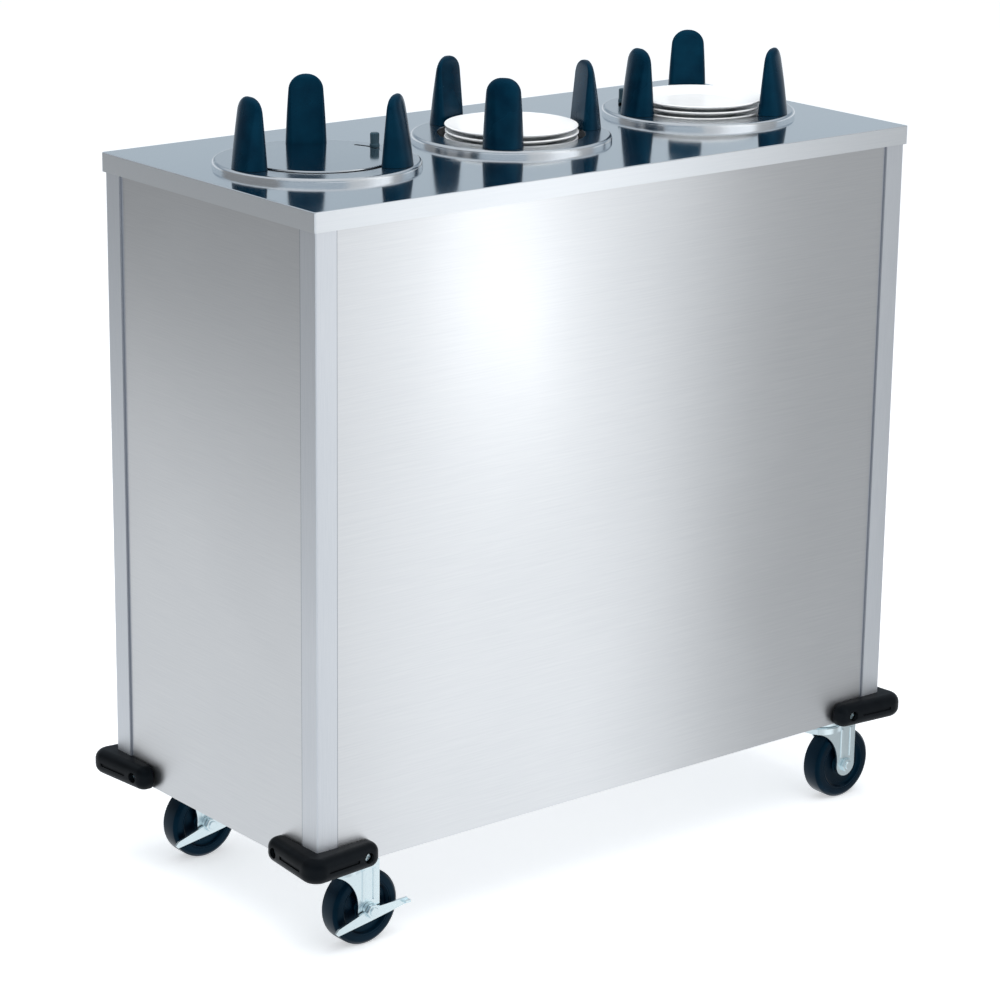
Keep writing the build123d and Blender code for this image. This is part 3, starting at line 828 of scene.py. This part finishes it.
def guide_section(inner, outer, width, height):
    """A D with a bowed outer side and rounded inner corners."""
    half = width / 2
    depth = outer - inner
    shoulder = inner + SHOULDER_SHARE * depth
    corner = min(CORNER_SHARE * depth, 0.9 * half)
    reach = (shoulder - inner, corner)
    points = half_ellipse((shoulder, 0), (outer - shoulder, half), -90, 90, BOW_STEPS)
    points += half_ellipse((shoulder, half - corner), reach, 90, 180, CORNER_STEPS)[1:]
    points += half_ellipse((shoulder, corner - half), reach, 180, 270, CORNER_STEPS)[:-1]
    return [(x, y, height) for x, y in points]


def guide_mesh(name, low, high, place):
    """A guide between two heights above the deck, with the stem and the pin below it."""
    bm = bmesh.new()
    tall = high - low
    bend = tall - CREST_R
    heights = [bend * level / TAPER_LEVELS for level in range(TAPER_LEVELS)]
    for level in range(CREST_LEVELS + 1):
        heights.append(bend + CREST_R * math.sin(math.pi / 2 * level / CREST_LEVELS))
    sections = []
    for height in heights:
        part = height / tall
        swell = SWELL * math.sin(math.pi * part)
        inner = FOOT_SPAN[0] + (CREST_SPAN[0] - FOOT_SPAN[0]) * part
        outer = FOOT_SPAN[1] + (CREST_SPAN[1] - FOOT_SPAN[1]) * part + swell
        width = FOOT_WIDTH + (CREST_WIDTH - FOOT_WIDTH) * part + swell
        over = max(0.0, height - bend) / CREST_R
        width -= 2 * CREST_R * (1 - math.sqrt(max(0.0, 1 - over * over)))
        thin = max(0.0, height - tall + CREST_THIN) / CREST_THIN
        shrink = (1 - CREST_FLAT) * (1 - math.sqrt(max(0.0, 1 - thin * thin))) * (outer - inner) / 2
        sections.append(guide_section(inner + shrink, outer - shrink, width, low + height))
    drawn_out(bm, sections)
    inner, outer, width = STEM
    foot = [(inner, -width / 2), (outer, -width / 2), (outer, width / 2), (inner, width / 2)]
    drawn_out(bm, [[(x, y, height) for x, y in foot] for height in (low / 2, low + STEM_OVERLAP)])
    pin = half_ellipse((PIN_AT, 0), (PIN_R, PIN_R), 0, 360, PIN_STEPS)[:-1]
    drawn_out(bm, [[(x, y, height) for x, y in pin] for height in (PIN_LOW, low / 2 + STEM_OVERLAP)])
    mesh = mesh_of(name, bm)
    mesh.transform(place)
    return mesh


for side, place in DISPENSERS.items():
    for number, angle in enumerate(GUIDE_ANGLES, 1):
        node = f"{side}_guide_{number}"
        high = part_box(node)[1][2] - place.translation.z
        around = place @ Matrix.Rotation(math.radians(angle), 4, "Z")
        mesh = guide_mesh(f"{node}_moulding", FLANGE_RISE + GUIDE_LIFT, high, around)
        add_piece(f"{node}_moulding", mesh, guide_plastic, node, "guide_plastic", node)
print("guides:", len(mesh.polygons), "faces each")

# %% [markdown]
# ## The knobs
#
# The knob that turns the adjusting ring is small, so its flutes and its rounded crown are what
# tell the eye that fingers hold it. It is turned, and then its wall is drawn in along the flutes.

# %% Turn the knobs
KNOB_R = 0.0065
KNOB_OUTLINE = ((0, 0), (0.0065, 0), (0.0065, 0.0035), (0.0058, 0.0050), (0.0060, 0.0190), (0, 0.0190))
KNOB_RADII = (0, 0.0005, 0.0008, 0.0008, 0.0022, 0)
STEM_R, STEM_LOW, STEM_HIGH = 0.003, -0.0070, 0.0005
STEM_STEPS = 24
FLUTES, FLUTE_DEPTH, FLUTE_FROM = 12, 0.0006, 0.0052


def knob_mesh(name, place, at):
    """A knob with its stem, standing on the flange at a place seen from above."""
    bm = bmesh.new()
    turned(bm, rounded(KNOB_OUTLINE, KNOB_RADII), 8 * FLUTES)
    for vert in bm.verts:
        reach = math.hypot(vert.co.x, vert.co.y)
        if vert.co.z > FLUTE_FROM and reach > 0.6 * KNOB_R:
            wave = 0.5 - 0.5 * math.cos(FLUTES * math.atan2(vert.co.y, vert.co.x))
            vert.co.xy *= 1 - FLUTE_DEPTH * wave / reach
    turned(bm, ((0, STEM_LOW), (STEM_R, STEM_LOW), (STEM_R, STEM_HIGH), (0, STEM_HIGH)), STEM_STEPS)
    mesh = mesh_of(name, bm)
    mesh.transform(Matrix.Translation((at.x, at.y, place.translation.z + FLANGE_RISE + GUIDE_LIFT)))
    return mesh


for side, place in DISPENSERS.items():
    mesh = knob_mesh(f"{side}_fluted_knob", place, middle_of(f"{side}_knob"))
    add_piece(f"{side}_fluted_knob", mesh, knob_plastic, f"{side}_ring", "black_plastic", f"{side}_knob")

# %% [markdown]
# ## A workshop for repeats
#
# Plates in a stack and coils in a row are the same shape again and again, which is what Geometry
# Nodes are for. Each tree has named inputs, so the same tree serves every dispenser. The result is
# read back as one plain mesh, because instances don't survive an export.

# %% Make the Geometry Nodes helpers
SOCKETS = {int: "NodeSocketInt", float: "NodeSocketFloat", bpy.types.Material: "NodeSocketMaterial"}


def start_tree(name, inputs):
    """A geometry tree with a Geometry input, other named inputs and a Geometry output."""
    tree = bpy.data.node_groups.new(name, "GeometryNodeTree")
    tree.interface.new_socket("Geometry", in_out="INPUT", socket_type="NodeSocketGeometry")
    for label, kind in inputs.items():
        tree.interface.new_socket(label, in_out="INPUT", socket_type=SOCKETS[kind])
    tree.interface.new_socket("Geometry", in_out="OUTPUT", socket_type="NodeSocketGeometry")
    return tree, tree.nodes.new("NodeGroupInput"), tree.nodes.new("NodeGroupOutput")


def end_tree(tree, start, end, instances):
    """Make the instances real, give them their material and put them out."""
    real = add_node(tree, "GeometryNodeRealizeInstances")
    tree.links.new(instances, real.inputs["Geometry"])
    dressed = add_node(tree, "GeometryNodeSetMaterial")
    tree.links.new(real.outputs["Geometry"], dressed.inputs["Geometry"])
    tree.links.new(start.outputs["Material"], dressed.inputs["Material"])
    tree.links.new(dressed.outputs["Geometry"], end.inputs["Geometry"])


def grown(name, mesh, tree, **values):
    """Run a tree on a mesh and return the plain mesh that comes out."""
    holder = show_in_scene(name, mesh)
    modifier = holder.modifiers.new("grow", "NODES")
    modifier.node_group = tree
    for item in tree.interface.items_tree:
        if item.in_out == "INPUT" and item.name in values:
            modifier[item.identifier] = values[item.name]
    bpy.context.view_layer.update()
    evaluated = holder.evaluated_get(bpy.context.evaluated_depsgraph_get())
    result = bpy.data.meshes.new_from_object(evaluated)
    result.name = name
    bpy.data.objects.remove(holder)
    return result


# %% [markdown]
# ## The plates
#
# The stacks are plain restaurant plates: a foot ring, a flat well, a gentle bend and a rolled rim.
# Glaze is soft at every edge, so each corner of the outline gets an arc. The tree then sets them on
# a line, one pitch apart, each nudged a little, since nobody stacks plates perfectly.

# %% Stack the plates
PLATE_PITCH = 0.008
PLATES_PER_STACK = 12
PLATE_NUDGE = 0.0007
PLATE_STEPS = 128
PLATE_OUTLINE = (
    (0, 0.0034),
    (0.046, 0.0034),
    (0.0465, 0),
    (0.0495, 0),
    (0.050, 0.0034),
    (0.062, 0.0052),
    (0.086, 0.0120),
    (0.0882, 0.0135),
    (0.0868, 0.0151),
    (0.062, 0.0102),
    (0.052, 0.0080),
    (0, 0.0080),
)
PLATE_RADII = (0, 0.001, 0.0008, 0.0008, 0.001, 0.012, 0.002, 0.0009, 0.0009, 0.012, 0.008, 0)


def make_stack_tree():
    inputs = {"Count": int, "Pitch": float, "Nudge": float, "Seed": int, "Material": bpy.types.Material}
    tree, start, end = start_tree("stack_of_plates", inputs)
    line = add_node(tree, "GeometryNodeMeshLine", mode="OFFSET")
    tree.links.new(start.outputs["Count"], line.inputs["Count"])
    rise = add_node(tree, "ShaderNodeCombineXYZ")
    tree.links.new(start.outputs["Pitch"], rise.inputs["Z"])
    tree.links.new(rise.outputs[0], line.inputs["Offset"])
    chance = add_node(tree, "FunctionNodeRandomValue", data_type="FLOAT_VECTOR")
    chance.inputs[0].default_value = (-1, -1, 0)
    chance.inputs[1].default_value = (1, 1, 0)
    tree.links.new(start.outputs["Seed"], chance.inputs["Seed"])
    nudge = add_node(tree, "ShaderNodeVectorMath", operation="SCALE")
    tree.links.new(chance.outputs[0], nudge.inputs[0])
    tree.links.new(start.outputs["Nudge"], nudge.inputs["Scale"])
    moved = add_node(tree, "GeometryNodeSetPosition")
    tree.links.new(line.outputs["Mesh"], moved.inputs["Geometry"])
    tree.links.new(nudge.outputs[0], moved.inputs["Offset"])
    repeated = add_node(tree, "GeometryNodeInstanceOnPoints")
    tree.links.new(moved.outputs["Geometry"], repeated.inputs["Points"])
    tree.links.new(start.outputs["Geometry"], repeated.inputs["Instance"])
    end_tree(tree, start, end, repeated.outputs["Instances"])
    return tree


def plate_mesh():
    bm = bmesh.new()
    turned(bm, rounded(PLATE_OUTLINE, PLATE_RADII, steps=5), PLATE_STEPS)
    return mesh_of("plate", bm, sharp=math.radians(70))


stack_tree = make_stack_tree()
for seed, side in enumerate(("middle", "right"), 3):
    mesh = grown(
        f"{side}_china",
        plate_mesh(),
        stack_tree,
        Count=PLATES_PER_STACK,
        Pitch=PLATE_PITCH,
        Nudge=PLATE_NUDGE,
        Seed=seed,
        Material=china,
    )
    axis = DISPENSERS[side].translation
    mesh.transform(Matrix.Translation((axis.x, axis.y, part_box(f"{side}_plates")[0][2])))
    add_piece(f"{side}_china", mesh, china, f"{side}_carrier", "glazed_china", f"{side}_plates")
    print(side, "stack:", len(mesh.polygons), "faces")

# %% [markdown]
# ## The springs
#
# Three extension springs lift each carrier. A spring is a wire along a spiral, so the tree makes
# the spiral, sweeps a round wire along it and repeats it at the three arms. All the springs have
# the same number of coils, so those of a loaded carrier are visibly stretched.

# %% Wind the springs
SPRING_AT = 0.109
SPRING_R = 0.0055
WIRE_R = 0.0006
SPRING_COILS = 38
SPRINGS_PER_CARRIER = 3


def make_spring_tree():
    inputs = {"Height": float, "Coils": float, "Radius": float, "Wire": float, "Away": float, "Number": int}
    tree, start, end = start_tree("coil_springs", {**inputs, "Material": bpy.types.Material})
    spiral = add_node(tree, "GeometryNodeCurveSpiral")
    spiral.inputs["Resolution"].default_value = 12
    for label, socket in (
        ("Coils", "Rotations"),
        ("Radius", "Start Radius"),
        ("Radius", "End Radius"),
        ("Height", "Height"),
    ):
        tree.links.new(start.outputs[label], spiral.inputs[socket])
    wire = add_node(tree, "GeometryNodeCurvePrimitiveCircle")
    wire.inputs["Resolution"].default_value = 6
    tree.links.new(start.outputs["Wire"], wire.inputs["Radius"])
    swept = add_node(tree, "GeometryNodeCurveToMesh")
    swept.inputs["Fill Caps"].default_value = True
    tree.links.new(spiral.outputs["Curve"], swept.inputs["Curve"])
    tree.links.new(wire.outputs["Curve"], swept.inputs["Profile Curve"])
    places = add_node(tree, "GeometryNodeMeshCircle")
    tree.links.new(start.outputs["Number"], places.inputs["Vertices"])
    tree.links.new(start.outputs["Away"], places.inputs["Radius"])
    repeated = add_node(tree, "GeometryNodeInstanceOnPoints")
    tree.links.new(places.outputs["Mesh"], repeated.inputs["Points"])
    tree.links.new(swept.outputs["Mesh"], repeated.inputs["Instance"])
    end_tree(tree, start, end, repeated.outputs["Instances"])
    return tree


spring_tree = make_spring_tree()
for side, place in DISPENSERS.items():
    low, high = (corner[2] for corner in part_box(f"{side}_springs"))
    mesh = grown(
        f"{side}_coil_springs",
        bpy.data.meshes.new("nothing"),
        spring_tree,
        Height=high - low - 2 * WIRE_R,
        Coils=float(SPRING_COILS),
        Radius=SPRING_R - WIRE_R,
        Wire=WIRE_R,
        Away=SPRING_AT,
        Number=SPRINGS_PER_CARRIER,
        Material=spring_steel,
    )
    mesh.transform(Matrix.Translation((0, 0, low + WIRE_R - place.translation.z)))
    mesh.transform(place)
    mesh.shade_smooth()
    mesh.materials.clear()
    mesh.materials.append(spring_steel)
    coils = show_in_scene(f"{side}_coil_springs", mesh)
    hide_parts(f"{side}_springs")
    axis = place.translation
    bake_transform(coils)
    print(side, "springs:", round((high - low) / SPRING_COILS * 1000, 2), "mm from coil to coil")

# %% [markdown]
# ## The wheels
#
# A caster wheel is a rubber tyre on a hub. The tread is barely crowned, its shoulders are well
# rounded, and a fine groove shows where the tyre ends on the side. Below it the side is recessed, so
# that only the hub's boss comes near the fork. All of that is one outline, turned once.

# %% Turn the wheels
WHEEL_STEPS = 96
WHEEL_SIDE = (
    (0.00606, 0.0178, 0.0006),
    (0.0130, 0.0178, 0.0010),
    (0.0158, 0.0112, 0.0030),
    (0.0330, 0.0112, 0.0030),
    (0.0356, 0.0158, 0.0012),
    (0.0370, 0.0158, 0.0004),
    (0.0375, 0.0149, 0.0004),
    (0.0380, 0.0158, 0.0006),
    (0.0462, 0.0155, 0.0040),
    (0.0505, 0.0120, 0.0030),
    (0.0508, 0.0040, 0.0),
)


def wheel_mesh(name, centre):
    side = [(radius, across) for radius, across, _ in WHEEL_SIDE]
    radii = [radius for _, _, radius in WHEEL_SIDE]
    outline = side + [(radius, -across) for radius, across in side[::-1]]
    bm = bmesh.new()
    turned(bm, rounded(outline, radii + radii[::-1]), WHEEL_STEPS)
    mesh = mesh_of(name, bm)
    mesh.transform(Matrix.Translation(centre) @ Matrix.Rotation(math.pi / 2, 4, "X"))
    return mesh


CASTERS = [f"{end}_{row}" for end in ("left", "right") for row in ("front", "rear")]
for caster in CASTERS:
    mesh = wheel_mesh(f"{caster}_tyre", middle_of(f"{caster}_wheel"))
    add_piece(f"{caster}_tyre", mesh, wheel_rubber, f"{caster}_wheel", "wheel_rubber", f"{caster}_wheel")
print("wheels:", len(mesh.polygons), "faces each")

# %% [markdown]
# ## The axle bolts
#
# The ends of the axle bolts are small, and they catch the light only because a real nut has its
# corners cut back by a cone. Two extra rings of points at each end of a hexagon give that, and the
# end of the bolt gets a small chamfer.

# %% Draw out the axle bolts
AXLE_R = 0.006
AXLE_END_CHAMFER = 0.0008
NUT_FLATS = 0.017
NUT_HEIGHT = 0.006
NUT_CHAMFER = 0.0009
NUT_GAP = 0.002


def hexagon(across_flats, height):
    radius = across_flats / math.sqrt(3)
    turns = [math.radians(60 * corner) for corner in range(6)]
    return [(radius * math.cos(a), radius * math.sin(a), height) for a in turns]


def axle_mesh(name, node):
    low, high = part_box(node)
    half = (high[1] - low[1]) / 2
    end = half - AXLE_END_CHAMFER
    bm = bmesh.new()
    rod = ((0, -half), (AXLE_R - AXLE_END_CHAMFER, -half), (AXLE_R, -end), (AXLE_R, end))
    turned(bm, (*rod, (AXLE_R - AXLE_END_CHAMFER, half), (0, half)), 32)
    for way in (-1, 1):
        outer = way * (half - NUT_GAP)
        heights = (0, NUT_CHAMFER, NUT_HEIGHT - NUT_CHAMFER, NUT_HEIGHT)
        widths = (NUT_FLATS - NUT_CHAMFER, NUT_FLATS, NUT_FLATS, NUT_FLATS - NUT_CHAMFER)
        drawn_out(bm, [hexagon(width, outer - way * height) for width, height in zip(widths, heights)])
    mesh = mesh_of(name, bm, sharp=math.radians(25))
    mesh.transform(Matrix.Translation(middle_of(node)) @ Matrix.Rotation(math.pi / 2, 4, "X"))
    return mesh


for caster in CASTERS:
    mesh = axle_mesh(f"{caster}_axle_bolt", f"{caster}_axle")
    add_piece(f"{caster}_axle_bolt", mesh, zinc, f"{caster}_swivel", "zinc", f"{caster}_axle")
